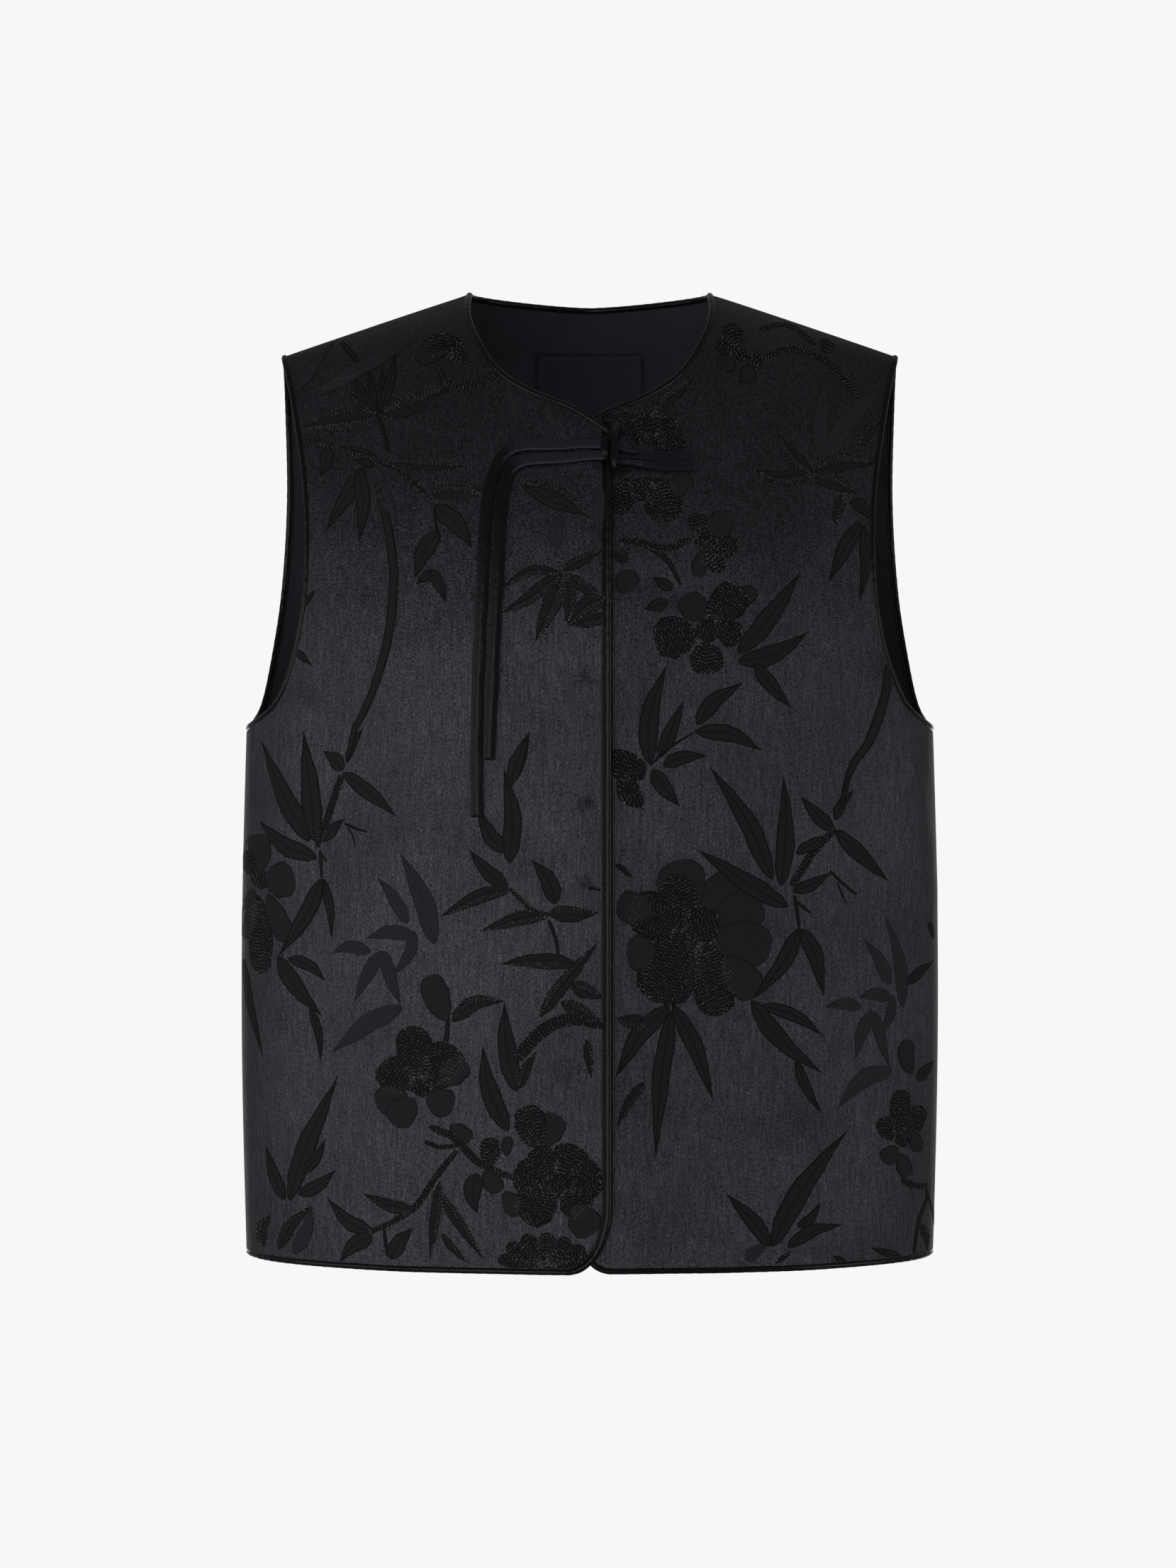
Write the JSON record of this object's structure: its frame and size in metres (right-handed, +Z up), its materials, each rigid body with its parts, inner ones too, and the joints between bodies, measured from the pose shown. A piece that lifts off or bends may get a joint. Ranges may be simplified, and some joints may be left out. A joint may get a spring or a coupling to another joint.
{
  "type": "waistcoat",
  "caption": "Sleeveless lined waistcoat with a round neck, lapped front, corded edges and a half-bow satin tie, in the hollow form it has when worn.",
  "frame": {"origin": "midway between the two points where neck edge and shoulder seam meet, at their height, where the wearer's shoulders hold the garment", "axes": "+Z up, the front faces -Y, the wearer's left side is +X"},
  "size_m": [0.427, 0.2324, 0.5893],
  "materials": {
    "jacquard": "black jacquard satin with a woven pattern of leaves and blossoms",
    "lining": "smooth dark lining cloth",
    "edge_satin": "black satin over a filler cord",
    "tie_satin": "black satin with a soft sheen",
    "label": "dark navy woven patch, left plain"
  },
  "bodies": {
    "root": {"front_right": "jacquard", "front_left": "jacquard", "back": "jacquard", "back_lining": "lining", "label": "label", "edge_front_right": "edge_satin", "edge_front_left": "edge_satin", "edge_back_neck": "edge_satin", "edge_back_hem": "edge_satin", "edge_armhole_right": "edge_satin", "edge_armhole_left": "edge_satin", "tie_knot": "tie_satin", "tie_end_long": "tie_satin", "tie_end_short": "tie_satin", "tie_loop": "tie_satin", "tie_ear": "tie_satin"}
  },
  "joints": []
}
